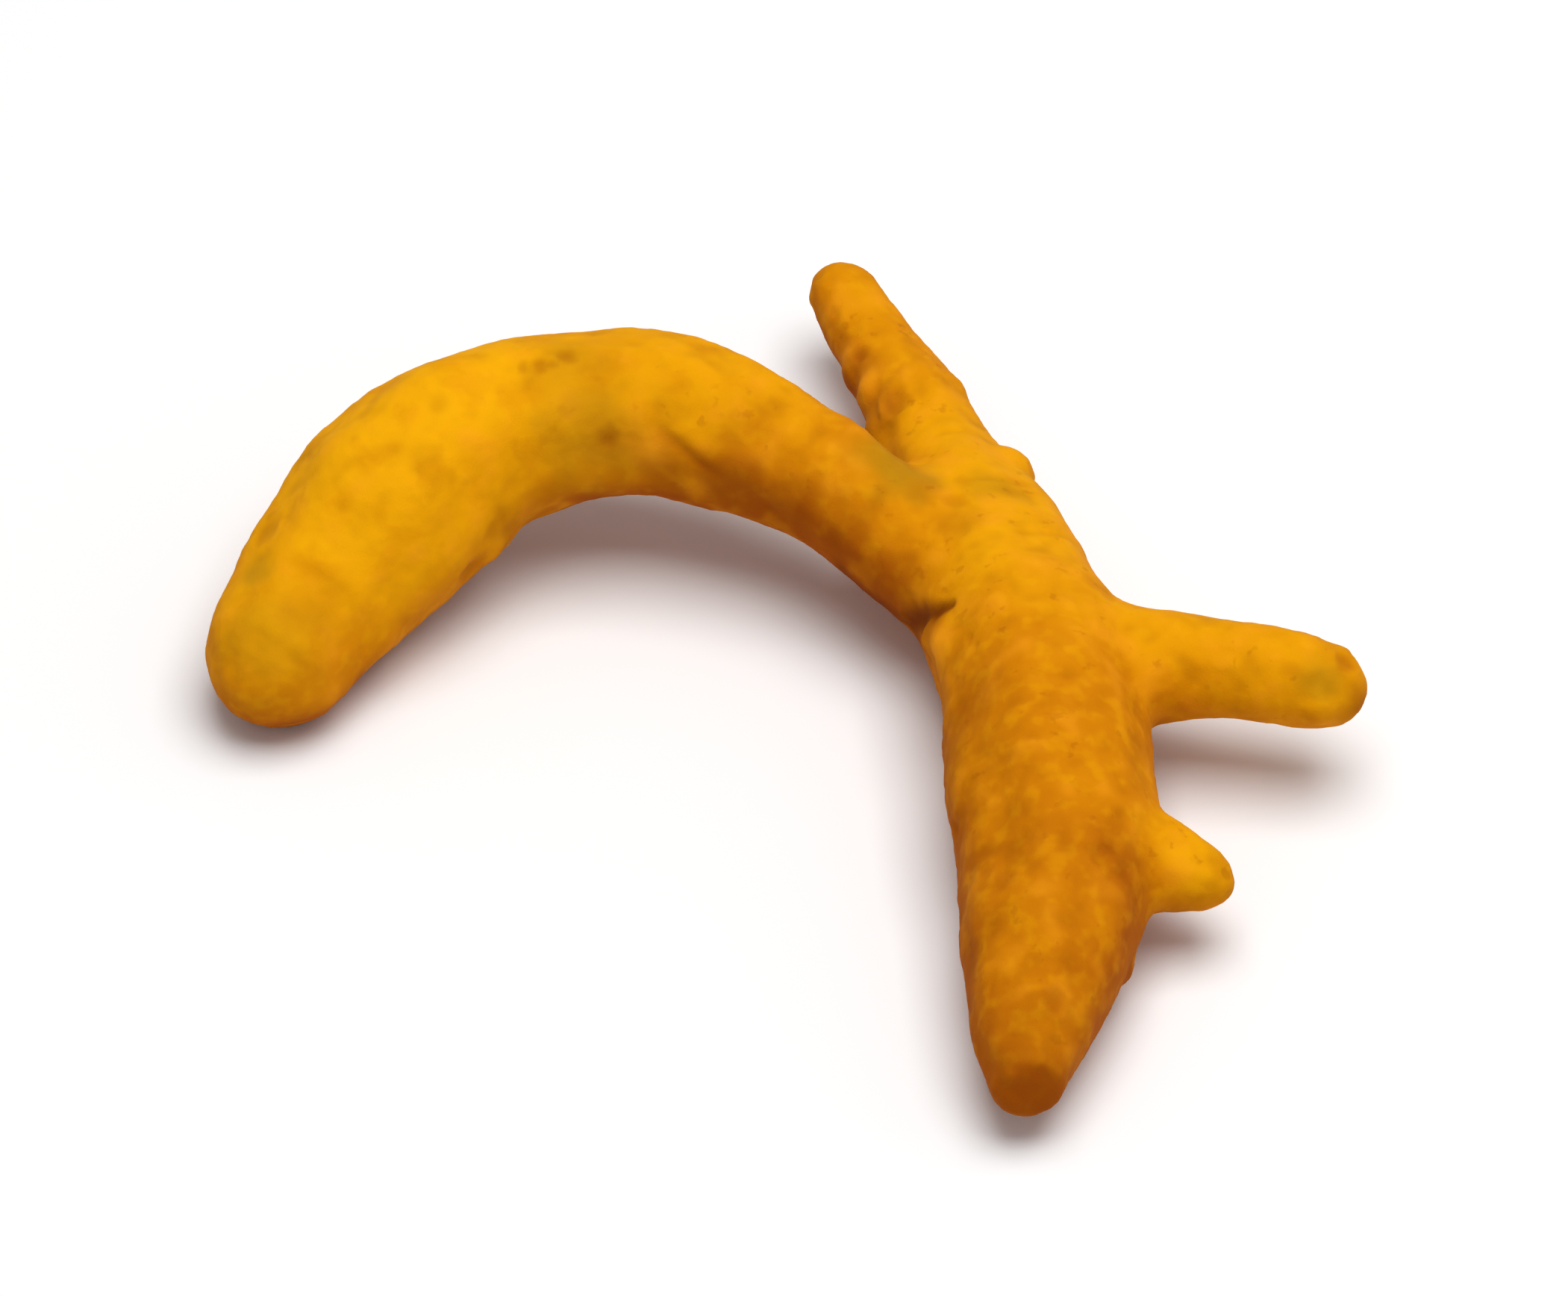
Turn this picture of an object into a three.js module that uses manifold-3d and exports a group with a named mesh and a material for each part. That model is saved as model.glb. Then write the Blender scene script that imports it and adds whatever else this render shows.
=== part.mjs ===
// A dried turmeric rhizome that grew as one piece: a main finger, a long side finger that arches
// out and comes back down, two short side fingers, and the buds and stubs along them.
// Millimetres, +Z up. It lies on the plane z = 0 with the origin under the middle of its outline.

import * as THREE from 'three';
import { mergeVertices } from 'three/addons/utils/BufferGeometryUtils.js';
import { ImprovedNoise } from 'three/addons/math/ImprovedNoise.js';
import Module from 'manifold-3d';

// Fingers. A station is the midline's x, y and z, then the radius there. Every finger runs from
// its root to its tip, but for the main finger, which runs from its thin top end to its low tip.
// startRound and endRound are the lengths over which the two ends round off, and firstRing is
// how far along the first growth ring lies. A bud is a low dome on the finger's side: how far
// along, its angle from the top towards the right hand as one looks along the finger, its
// radius, and the share of that radius that stands clear of the skin.
const MAIN_FINGER = {
  stations: [
    [2.5, 33.4, 5.8, 2.0],
    [5.6, 27.5, 5.0, 2.5],
    [8.0, 22.1, 4.7, 3.0],
    [9.5, 17.2, 4.6, 3.7],
    [11.3, 11.4, 5.0, 5.1],
    [12.7, 5.6, 5.8, 5.6],
    [14.6, -0.5, 6.3, 6.0],
    [15.6, -11.4, 5.9, 6.0],
    [15.8, -17.2, 5.6, 5.6],
    [15.2, -22.8, 5.2, 4.9],
    [14.1, -29.7, 4.4, 3.2],
    [13.9, -34.1, 4.0, 2.0],
  ],
  sides: 32,
  startRound: 2.2,
  endRound: 1.4,
  firstRing: 5.2,
  buds: [
    { along: 8.2, angle: 84, radius: 1.3, standing: 0.4 },
    { along: 11.0, angle: 72, radius: 1.6, standing: 0.35 },
    { along: 13.8, angle: 86, radius: 1.7, standing: 0.4 },
    { along: 12.2, angle: -72, radius: 1.6, standing: 0.3 },
    { along: 20.6, angle: -68, radius: 2.2, standing: 0.3 },
    { along: 33.4, angle: 74, radius: 1.6, standing: 0.45 },
    { along: 45.0, angle: 118, radius: 2.0, standing: 0.25 },
    { along: 57.5, angle: -122, radius: 1.8, standing: 0.3 },
  ],
};
const LONG_SIDE_FINGER = {
  stations: [
    [13.6, 2.9, 4.8, 4.2],
    [9.8, 6.8, 6.4, 4.1],
    [6.0, 9.7, 7.4, 3.7],
    [2.7, 12.6, 8.3, 3.7],
    [-4.1, 16.4, 9.2, 4.6],
    [-9.1, 17.6, 9.4, 4.9],
    [-16.5, 16.4, 9.0, 5.3],
    [-20.2, 14.4, 8.3, 5.9],
    [-23.3, 11.4, 7.3, 6.0],
    [-28.5, 4.9, 4.6, 5.0],
    [-32.0, -1.5, 3.8, 4.2],
  ],
  sides: 30,
  startRound: 4.0,
  endRound: 5.0,
  firstRing: 9.5,
  buds: [
    { along: 29.0, angle: 100, radius: 1.9, standing: 0.25 },
    { along: 41.5, angle: -112, radius: 2.1, standing: 0.25 },
    { along: 53.5, angle: 128, radius: 1.7, standing: 0.3 },
  ],
};
const SHORT_SIDE_FINGER = {
  stations: [
    [15.3, -0.2, 6.0, 4.4],
    [20.3, -1.1, 6.8, 3.7],
    [23.9, -1.6, 7.2, 3.1],
    [27.6, -2.3, 7.4, 2.9],
    [30.8, -3.0, 7.3, 2.7],
    [32.5, -3.8, 7.1, 2.1],
    [33.7, -4.7, 6.9, 1.4],
  ],
  sides: 22,
  startRound: 3.0,
  endRound: 1.2,
  firstRing: 9.2,
  buds: [
    { along: 16.8, angle: -55, radius: 1.3, standing: 0.35 },
    { along: 17.2, angle: 78, radius: 1.2, standing: 0.4 },
  ],
};
const LOW_SIDE_FINGER = {
  stations: [
    [17.6, -14.0, 5.6, 3.9],
    [21.7, -16.1, 5.5, 2.9],
    [24.2, -16.9, 5.3, 2.1],
    [26.2, -17.6, 5.1, 1.5],
  ],
  sides: 18,
  startRound: 2.5,
  endRound: 1.5,
  firstRing: 6.8,
  buds: [],
};
const FINGERS = [MAIN_FINGER, LONG_SIDE_FINGER, SHORT_SIDE_FINGER, LOW_SIDE_FINGER];

// How finely fingers and buds are drawn.
const STEP_ALONG = 1.35;
const CAP_STEPS = 4;
const BUD_SIDES = 12;
const BUD_STACKS = 8;

// Corners this near each other become one: within a piece, and along the seams between pieces.
const EXACT_WELD = 0.0001;
const SEAM_WELD = 0.05;

// Relief of the dried skin, as shares of the finger's radius: broad lumps, growth rings round
// the finger and shallow wrinkles along it. The sizes and spacings are in millimetres.
const LUMP_SHARE = 0.09;
const LUMP_SIZE = 8.5;
const RING_SHARE = 0.03;
const RING_SPACING = 6.0;
const RING_WIDTH = 0.9;
const RING_WAVE = 0.6;
const RING_UNEVENNESS = 0.5;
const WRINKLE_SHARE = 0.022;
const WRINKLES_AROUND = 7;
const WRINKLE_DRIFT = 9.0;

// The low tip of the main finger was broken off and has dried: a small slanting flat.
const BROKEN_TIP = { at: [13.9, -33.4, 4.0], turn: 10, tilt: -12, size: 12 };

const UNDER_FLOOR = { width: 200, depth: 20 };
const SKIN = { color: 0xd08510, roughness: 0.85, metalness: 0.0 };

const UP = new THREE.Vector3(0, 0, 1);
const noise = new ImprovedNoise();
const wasm = await Module();
wasm.setup();

// A finger's midline, and its radius as the same spline through the stations' radii.
function makeMidline(finger) {
  const points = finger.stations.map(([x, y, z]) => new THREE.Vector3(x, y, z));
  return new THREE.CatmullRomCurve3(points);
}

function makeRadii(finger) {
  return new THREE.SplineCurve(finger.stations.map((station, i) => new THREE.Vector2(i, station[3])));
}

// 0 at an end of the finger, growing as a quarter ellipse to 1 at the given length from it.
function endRounding(distance, length) {
  const inside = 1 - THREE.MathUtils.clamp(distance / length, 0, 1);
  return Math.sqrt(1 - inside * inside);
}

// Distances along the finger: closer together over the two rounded ends.
function stepsAlong(length, startRound, endRound) {
  const capShares = [];
  for (let i = 0; i <= CAP_STEPS; i++) {
    capShares.push(1 - Math.cos((i / CAP_STEPS) * (Math.PI / 2)));
  }
  const straight = length - startRound - endRound;
  const count = Math.round(straight / STEP_ALONG);
  const between = [];
  for (let i = 1; i < count; i++) {
    between.push(startRound + (straight * i) / count);
  }
  const startCap = capShares.map((share) => startRound * share);
  const endCap = capShares.map((share) => length - endRound * share).reverse();
  return [...startCap, ...between, ...endCap];
}

// The share of the radius by which the skin stands out: lumps, rings and lengthwise wrinkles.
function reliefShare(point, along, angle, firstRing) {
  const lump = noise.noise(point.x / LUMP_SIZE, point.y / LUMP_SIZE, point.z / LUMP_SIZE);
  const ringPlace = along - firstRing + RING_WAVE * Math.sin(angle + along);
  const ringNumber = Math.round(ringPlace / RING_SPACING);
  const fromRing = ringPlace - RING_SPACING * ringNumber;
  const strength = 1 + RING_UNEVENNESS * Math.sin(angle + 2 * ringNumber);
  const ring = strength * Math.exp(-((fromRing / RING_WIDTH) ** 2));
  const wrinkle = Math.cos(WRINKLES_AROUND * angle + 2 * Math.sin(along / WRINKLE_DRIFT));
  return LUMP_SHARE * lump + RING_SHARE * ring + WRINKLE_SHARE * wrinkle;
}

// The directions around the midline: the finger's right hand side and its upper side.
function frameAt(midline, fraction) {
  const tangent = midline.getTangentAt(fraction);
  const right = new THREE.Vector3().crossVectors(tangent, UP).normalize();
  const upper = new THREE.Vector3().crossVectors(right, tangent);
  return { centre: midline.getPointAt(fraction), right, upper };
}

function outwards(frame, angle) {
  const right = frame.right.clone().multiplyScalar(Math.sin(angle));
  return right.addScaledVector(frame.upper, Math.cos(angle));
}

// A lathed spindle whose rings are carried onto the midline, with the relief added on the way.
function fingerGeometry(finger) {
  const midline = makeMidline(finger);
  const radii = makeRadii(finger);
  const length = midline.getLength();
  const radiusAt = (distance) => radii.getPoint(midline.getUtoTmapping(distance / length)).y;
  const endsAt = (distance) =>
    endRounding(distance, finger.startRound) * endRounding(length - distance, finger.endRound);
  const profile = stepsAlong(length, finger.startRound, finger.endRound).map(
    (distance) => new THREE.Vector2(radiusAt(distance) * endsAt(distance), distance),
  );
  const geometry = new THREE.LatheGeometry(profile, finger.sides);
  const position = geometry.attributes.position;
  for (let i = 0; i < position.count; i++) {
    const along = position.getY(i);
    const radius = Math.hypot(position.getX(i), position.getZ(i));
    const angle = Math.atan2(position.getX(i), position.getZ(i));
    const frame = frameAt(midline, THREE.MathUtils.clamp(along / length, 0, 1));
    const out = outwards(frame, angle);
    const point = frame.centre.clone().addScaledVector(out, radius);
    point.addScaledVector(out, radius * reliefShare(point, along, angle, finger.firstRing));
    position.setXYZ(i, point.x, point.y, point.z);
  }
  return geometry;
}

// A bud is a ball, most of it sunk in the finger's side.
function budGeometry(finger, bud) {
  const midline = makeMidline(finger);
  const fraction = bud.along / midline.getLength();
  const fingerRadius = makeRadii(finger).getPoint(midline.getUtoTmapping(fraction)).y;
  const frame = frameAt(midline, fraction);
  const out = outwards(frame, THREE.MathUtils.degToRad(bud.angle));
  const reach = fingerRadius - bud.radius * (1 - bud.standing);
  const centre = frame.centre.clone().addScaledVector(out, reach);
  const geometry = new THREE.SphereGeometry(bud.radius, BUD_SIDES, BUD_STACKS);
  return geometry.translate(centre.x, centre.y, centre.z);
}

// A closed mesh as a solid that can be joined and cut. Corners nearer than the weld distance
// become one, and the triangles that this or a pole flattens are left out.
function toSolid(geometry, weldDistance = EXACT_WELD) {
  geometry.deleteAttribute('normal');
  geometry.deleteAttribute('uv');
  const merged = mergeVertices(geometry, weldDistance);
  const corners = merged.index.array;
  const kept = [];
  for (let i = 0; i < corners.length; i += 3) {
    const [a, b, c] = corners.slice(i, i + 3);
    if (a !== b && b !== c && c !== a) {
      kept.push(a, b, c);
    }
  }
  const mesh = new wasm.Mesh({
    numProp: 3,
    vertProperties: new Float32Array(merged.attributes.position.array),
    triVerts: new Uint32Array(kept),
  });
  return new wasm.Manifold(mesh);
}

function toGeometry(solid) {
  const mesh = solid.getMesh();
  const geometry = new THREE.BufferGeometry();
  geometry.setAttribute('position', new THREE.BufferAttribute(mesh.vertProperties, 3));
  geometry.setIndex(new THREE.BufferAttribute(mesh.triVerts, 1));
  return geometry;
}

function brokenTipCutter() {
  const { at, turn, tilt, size } = BROKEN_TIP;
  const box = new THREE.BoxGeometry(size, size, size).translate(0, -size / 2, 0);
  box.rotateX(THREE.MathUtils.degToRad(tilt)).rotateZ(THREE.MathUtils.degToRad(turn));
  return toSolid(box.translate(...at));
}

// What lies below the surface, cut away to leave the small flats that the rhizome rests on.
function underFloorCutter() {
  const { width, depth } = UNDER_FLOOR;
  return toSolid(new THREE.BoxGeometry(width, width, depth).translate(0, 0, -depth / 2));
}

function rhizomeGeometry() {
  const fingers = FINGERS.map((finger) => fingerGeometry(finger));
  const buds = FINGERS.flatMap((finger) => finger.buds.map((bud) => budGeometry(finger, bud)));
  const pieces = [...fingers, ...buds].map((geometry) => toSolid(geometry));
  const whole = pieces.reduce((joined, piece) => joined.add(piece));
  const trimmed = whole.subtract(brokenTipCutter()).subtract(underFloorCutter());
  return toGeometry(toSolid(toGeometry(trimmed), SEAM_WELD));
}

const skin = new THREE.MeshStandardMaterial(SKIN);
const rhizome = new THREE.Mesh(rhizomeGeometry(), skin);
rhizome.name = 'rhizome';

const turmericRoot = new THREE.Group();
turmericRoot.add(rhizome);

export default turmericRoot;
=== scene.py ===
"""A dried turmeric rhizome: its powdery skin's fine form and colours, and the stage it lies on."""

import math

import bmesh
import bpy
import numpy as np
from bpy.props import FloatProperty, FloatVectorProperty, IntProperty, PointerProperty
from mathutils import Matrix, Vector, kdtree, noise


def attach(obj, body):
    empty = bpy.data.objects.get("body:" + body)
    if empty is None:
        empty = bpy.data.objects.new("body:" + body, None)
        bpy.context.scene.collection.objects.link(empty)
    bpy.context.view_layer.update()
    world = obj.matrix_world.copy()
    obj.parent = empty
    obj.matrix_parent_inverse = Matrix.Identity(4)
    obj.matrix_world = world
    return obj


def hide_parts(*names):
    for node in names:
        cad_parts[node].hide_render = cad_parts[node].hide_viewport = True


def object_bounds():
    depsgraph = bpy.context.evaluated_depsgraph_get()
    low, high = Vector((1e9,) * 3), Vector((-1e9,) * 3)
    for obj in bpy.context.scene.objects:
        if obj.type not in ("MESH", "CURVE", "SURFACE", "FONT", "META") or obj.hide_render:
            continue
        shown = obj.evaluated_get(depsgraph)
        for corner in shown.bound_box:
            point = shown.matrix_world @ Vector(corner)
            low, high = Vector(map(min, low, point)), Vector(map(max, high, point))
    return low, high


bl_info = {
    "name": "Turmeric Root",
    "version": (1, 0, 0),
    "blender": (4, 5, 0),
    "location": "View3D > Sidebar > Turmeric",
    "description": "Builds a dried turmeric rhizome on a pale stage",
    "category": "Add Mesh",
}

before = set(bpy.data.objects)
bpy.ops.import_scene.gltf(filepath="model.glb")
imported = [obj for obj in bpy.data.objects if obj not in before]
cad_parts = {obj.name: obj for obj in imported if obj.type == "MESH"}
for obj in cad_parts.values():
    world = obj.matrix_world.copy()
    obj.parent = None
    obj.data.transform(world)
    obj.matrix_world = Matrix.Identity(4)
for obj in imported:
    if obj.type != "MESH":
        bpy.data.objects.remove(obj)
CAD_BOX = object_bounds()
ROOT = "rhizome"
MM = 0.001

# The fingers' midlines as the solid has them, in millimetres: x, y and z, then the radius.
MAIN, LONG, SHORT, LOW = range(4)
MIDLINES = {
    MAIN: (
        (2.5, 33.4, 5.8, 2.0),
        (5.6, 27.5, 5.0, 2.5),
        (8.0, 22.1, 4.7, 3.0),
        (9.5, 17.2, 4.6, 3.7),
        (11.3, 11.4, 5.0, 5.1),
        (12.7, 5.6, 5.8, 5.6),
        (14.6, -0.5, 6.3, 6.0),
        (15.6, -11.4, 5.9, 6.0),
        (15.8, -17.2, 5.6, 5.6),
        (15.2, -22.8, 5.2, 4.9),
        (14.1, -29.7, 4.4, 3.2),
        (13.9, -34.1, 4.0, 2.0),
    ),
    LONG: (
        (13.6, 2.9, 4.8, 4.2),
        (9.8, 6.8, 6.4, 4.1),
        (6.0, 9.7, 7.4, 3.7),
        (2.7, 12.6, 8.3, 3.7),
        (-4.1, 16.4, 9.2, 4.6),
        (-9.1, 17.6, 9.4, 4.9),
        (-16.5, 16.4, 9.0, 5.3),
        (-20.2, 14.4, 8.3, 5.9),
        (-23.3, 11.4, 7.3, 6.0),
        (-28.5, 4.9, 4.6, 5.0),
        (-32.0, -1.5, 3.8, 4.2),
    ),
    SHORT: (
        (15.3, -0.2, 6.0, 4.4),
        (20.3, -1.1, 6.8, 3.7),
        (23.9, -1.6, 7.2, 3.1),
        (27.6, -2.3, 7.4, 2.9),
        (30.8, -3.0, 7.3, 2.7),
        (32.5, -3.8, 7.1, 2.1),
        (33.7, -4.7, 6.9, 1.4),
    ),
    LOW: (
        (17.6, -14.0, 5.6, 3.9),
        (21.7, -16.1, 5.5, 2.9),
        (24.2, -16.9, 5.3, 2.1),
        (26.2, -17.6, 5.1, 1.5),
    ),
}

# Growth rings: how far along each finger the first one lies, where they are fainter, between which
# radii they come in, and their spacing, waviness and the crease beside each, in millimetres. Last,
# the noise between which a ring comes in, so that it is broken here and there.
FIRST_RING = {MAIN: 5.2, LONG: 9.5, SHORT: 9.2, LOW: 6.8}
FAINTER_RINGS = {LONG: 0.3}
RINGED_RADII = (2.0, 5.0)
RING_SPACING = 6.0
RING_WAVE = 0.6
RING_WOBBLE = 0.45
RING_CREASE_OFFSET = 0.8
RING_CREASE_HALF_WIDTH = 0.4
RING_PRESENCE = (-0.05, 0.35)

# Into how many pieces a midline is divided between two of its points.
SAMPLES_A_SPAN = 24

# For each kind of relief or patch, the size of its waves in millimetres and the place in the noise
# that it is read from, so that no two kinds rise and fall together.
WAVES = {
    "lump": (5.5, 3.1),
    "small lump": (2.8, 7.7),
    "knobble": (2.0, 2.9),
    "grain": (0.55, 8.3),
    "broken end": (0.8, 4.7),
    "dent": (1.7, 4.4),
    "dent group": (6.0, 7.1),
    "ring wobble": (3.0, 1.3),
    "ring gap": (3.2, 9.4),
    "ripple": (1.0, 5.9),
    "wrinkle": (1.0, 2.2),
    "fold": (1.4, 6.6),
    "crease": (0.9, 5.2),
    "dust_and_shade": (3.4, 1.9),
    "scar": (0.8, 3.3),
    "stain": (1.8, 8.1),
}

# How far ripples and wrinkles are drawn out along and round a finger, in millimetres, and how far
# apart the fingers are read from the noise, so that no two are alike.
RIPPLE_STEPS = (0.9, 2.4)
WRINKLE_STEPS = (7.0, 1.7)
FINGER_SHIFT = 17.0

# The noise between which the rubbed dents come in, and between which a group of them does.
DENT_SPOTS = (0.36, 0.70)
DENT_GROUPS = (0.05, 0.40)

# Where fingers meet, in millimetres: from how far off to how far off a finger's own marks come in,
# and how far to either side one finger's dust gives way to the other's.
SEAM_FADE = (0.4, 2.4)
FINGER_BLEND = 3.0

# Each smoothing step moves corners by the first share of the way to the middle of their neighbours,
# and a step back by the second lets thin fingers keep their girth.
SMOOTHING_SHARE = 0.5
GIRTH_KEEPING_SHARE = -0.52

# Corners of the solid nearer to each other than this are one corner, in metres.
JOINING_DISTANCE = 0.001 * MM

# Where the skin is smoothed further, in millimetres: that near to the creases between fingers, and
# further out on the blends that lie higher than the last number.
SEAM_REACH = 1.2
UPPER_SEAM_REACH = 2.8
UPPER_HEIGHT = 7.6

# Scars in the skin: finger, millimetres along, degrees from the top, radius, depth of the hollow
# and height of the rim round it, all three in millimetres, and how dark its middle is.
SCARS = (
    (LONG, 29.6, -62, 0.80, 0.16, 0.05, 0.7),
    (LONG, 31.3, 2, 0.65, 0.12, 0.02, 0.6),
    (LONG, 32.5, -5, 0.50, 0.10, 0.02, 0.4),
    (LONG, 33.2, -4, 0.70, 0.14, 0.02, 0.6),
    (LONG, 34.1, -4, 0.50, 0.10, 0.02, 0.5),
    (LONG, 50.5, 44, 1.20, 0.10, 0.06, 0.5),
    (LONG, 44.0, -105, 1.30, 0.22, 0.10, 0.4),
    (LONG, 38.0, 130, 1.30, 0.25, 0.12, 0.4),
    (MAIN, 8.2, 47, 0.70, 0.10, 0.05, 0.8),
    (MAIN, 13.2, 34, 1.10, 0.14, 0.14, 0.6),
    (MAIN, 27.0, 160, 1.20, 0.25, 0.12, 0.4),
    (MAIN, 50.0, 80, 0.90, 0.18, 0.08, 0.3),
    (MAIN, 26.5, 20, 0.90, 0.12, 0.05, 0.4),
    (MAIN, 57.0, 35, 1.10, 0.14, 0.05, 0.5),
    (MAIN, 64.5, -20, 0.90, 0.12, 0.06, 0.6),
    (SHORT, 17.4, -20, 0.80, 0.18, 0.08, 0.7),
)

# A scar's profile in shares of its radius: the half width of its hollow, the place and the half
# width of its rim, where the dark comes in and is full, and how uneven its outline is.
SCAR_HOLLOW_WIDTH = 0.62
SCAR_RIM_PLACE = 1.05
SCAR_RIM_WIDTH = 0.28
SCAR_DARK = (1.25, 0.2)
SCAR_UNEVENNESS = 0.45

# A stain comes in and is full at these shares of its reach, and its outline is that uneven.
STAIN_EDGE = (1.15, 0.25)
STAIN_UNEVENNESS = 0.35

# Broad patches: x, y and z of the middle, then the reach, all in millimetres, and the strength.
GREEN_STAINS = (
    (-11.4, 13.5, 11.5, 4.2, 0.6),
    (-12.5, 17.0, 14.5, 3.0, 0.4),
    (6.7, 11.5, 11.0, 3.4, 1.0),
    (12.6, 11.0, 10.0, 2.2, 0.6),
    (-30.5, 5.0, 8.0, 1.8, 0.8),
    (31.3, -4.6, 9.2, 1.7, 0.7),
    (-30.2, 0.6, 7.6, 4.4, 0.45),
)
# Brown patches: partly brown marks at tips and on the body, partly painted shade under the long side
# finger, in the crook, at the junction and on the top end's flank.
BROWN_STAINS_AND_SHADE = (
    (14.2, -33.0, 4.6, 3.8, 1.0),
    (33.9, -4.8, 7.0, 2.0, 0.9),
    (4.6, 24.4, 5.6, 2.2, 1.0),
    (6.0, 20.8, 6.0, 2.2, 1.0),
    (6.3, 4.8, 7.8, 2.6, 0.8),
    (8.6, 0.0, 8.4, 1.4, 0.8),
    (-11.0, 16.0, 13.9, 5.0, 0.12),
    (3.4, 7.7, 9.3, 2.6, 0.8),
    (0.3, 9.8, 9.8, 2.8, 0.9),
    (-3.0, 11.4, 10.0, 3.0, 1.1),
    (-2.2, 13.6, 12.4, 2.8, 0.35),
    (-7.0, 12.0, 9.6, 2.2, 0.7),
    (-15.9, 11.5, 8.6, 3.4, 0.35),
    (10.5, -9.0, 7.6, 4.6, 0.7),
    (18.8, -19.0, 7.0, 3.5, 0.3),
    (10.2, 7.2, 10.7, 1.8, 0.5),
    (8.6, 9.8, 10.8, 1.5, 0.4),
    (-27.0, 1.6, 9.3, 3.0, 0.35),
    (26.6, -17.2, 4.4, 1.4, 0.5),
)

# The crook: along the underside of the long side finger to the corner, with painted shade only, and
# from there as a crease up the body's flank, cut in and with painted shade. x, y and z, then how far
# the painted shade reaches, all in millimetres. The number below is the half width of the crease
# itself, in shares of that reach.
CROOK_CORNER = (7.5, 4.0, 5.2, 1.0)
CROOK_UNDERSIDE_SHADE = ((3.6, 7.4, 5.7, 0.9), CROOK_CORNER)
CROOK_CREASE = (CROOK_CORNER, (8.3, 1.9, 7.9, 1.0), (8.8, 1.1, 9.0, 0.8), (9.9, 0.7, 10.1, 0.45))
CREASE_HALF_WIDTH = 0.6

# Where the crook's painted shade comes in and is full, in shares of the reach, how dark the painted
# shade on the underside is beside the crease, and how uneven the outline is.
CROOK_SHADE_EDGE = (1.5, 0.1)
UNDERSIDE_SHADE = 0.75
CROOK_UNEVENNESS = 0.3

# Small rounded buds: x, y and z of the middle, the radius and the height, all in millimetres. The
# number below them is the share of their painted highlight that a millimetre of height would bring.
BUDS = (
    (-7.8, 12.5, 11.3, 1.1, 0.30),
    (8.9, -1.2, 8.9, 1.0, 0.34),
    (4.9, 23.2, 6.4, 0.9, 0.28),
    (4.2, 26.0, 6.1, 0.7, 0.22),
    (5.9, 20.9, 7.0, 0.8, 0.20),
)
BUD_HIGHLIGHT_A_MM = 2.5

# How the dust and the painted light and shade differ on a stretch of a finger: from where to where
# the change comes in, in millimetres along the finger, how much more dust and painted light there
# is, and what share of the painted lighter top and darker underside is taken out, so that it lies
# evenly all round. The number below is how much the cloudy dust patches add or take everywhere.
DUST_AND_SHADE_SHIFTS = (
    (MAIN, 18.0, 9.0, -0.30, 0.2),
    (MAIN, 29.0, 42.0, -0.32, 0.5),
    (MAIN, 46.0, 55.0, -0.20, 0.0),
    (LONG, 24.0, 14.0, -0.62, 0.0),
    (LONG, 28.0, 37.0, 0.52, 0.0),
    (LONG, 48.0, 55.0, -0.45, 0.0),
    (SHORT, 4.0, 9.0, 0.40, 0.70),
    (LOW, 2.0, 6.0, 0.35, 0.3),
)
DUST_CLOUDS = 0.2

# The long side finger's skin is smoother past its bend: where along it that comes in, in
# millimetres, and by what share its knobbles and dents are then lower.
SMOOTH_STRETCH = (20.0, 32.0)
LOWER_KNOBBLES = 0.2
LOWER_DENTS = 0.6

# The main finger's low tip is broken off: where the rough end begins and where it is fully rough,
# in millimetres from the tip, and how much rougher than the knobbles it is.
BROKEN_FROM = 1.6
BROKEN_FULLY = 0.6
BROKEN_ROUGHNESS = 1.5

# The short slanting fold where the long side finger bends: its middle in millimetres along the
# finger and in degrees from the top, its slant in millimetres a degree, its reach in degrees, its
# waviness and the half widths of the crease and of the painted shade beside it, in millimetres.
FOLD_ALONG = 23.3
FOLD_ANGLE = -64.0
FOLD_SLANT = 0.2
FOLD_REACH = 17.0
FOLD_WAVE = 0.3
FOLD_HALF_WIDTH = 1.0
FOLD_SHADE_HALF_WIDTH = 1.7

# What is laid over the skin's tone, in this order: the name of the number kept for it, the colour,
# the largest share and the way of mixing.
OVERLAYS = (
    # Hollow and crease are painted shade, bud a painted highlight, brown and scar partly painted
    # shade.
    ("mottle_and_hollow_shade", "hollow_shade_tint", 0.5, "MULTIPLY"),
    ("brown", "rust_and_shade", 0.6, "MIX"),
    ("bud_and_highlight", "tan", 0.9, "MIX"),
    ("scar", "rust_and_shade", 0.7, "MIX"),
    ("crease", "crease_shade", 0.9, "MIX"),
)

# Sizes of the patches in the skin's colour, and the heights of the two that stand out.
BLOTCH_SIZE = 2.2 * MM
MEAL_SIZE = 1.1 * MM
FLECK_SIZE = 0.9 * MM
POWDER_SIZE = 0.16 * MM
MEAL_HEIGHT = 0.10 * MM
POWDER_HEIGHT = 0.035 * MM

# The stage: the floor's half width, each light's size and place, and how near to the camera things
# still show, in metres.
FLOOR_HALF_WIDTH = 2.0
KEY_SIZE = 0.45
KEY_PLACE = (0.07, 0.0, 0.56)
FILL_SIZE = 0.60
FILL_PLACE = (0.55, 0.10, 0.30)
NEAREST_SHOWN = 0.01


def linear(red, green, blue):
    """A screen colour from 0 to 255, as the linear colour that shaders use."""
    shares = (red / 255, green / 255, blue / 255)
    return tuple(s / 12.92 if s <= 0.04045 else ((s + 0.055) / 1.055) ** 2.4 for s in shares)


def smooth_step(low, high, values):
    """0 below low, 1 above high, and a smooth rise between them."""
    share = np.clip((values - low) / (high - low), 0.0, 1.0)
    return share * share * (3.0 - 2.0 * share)


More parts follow.
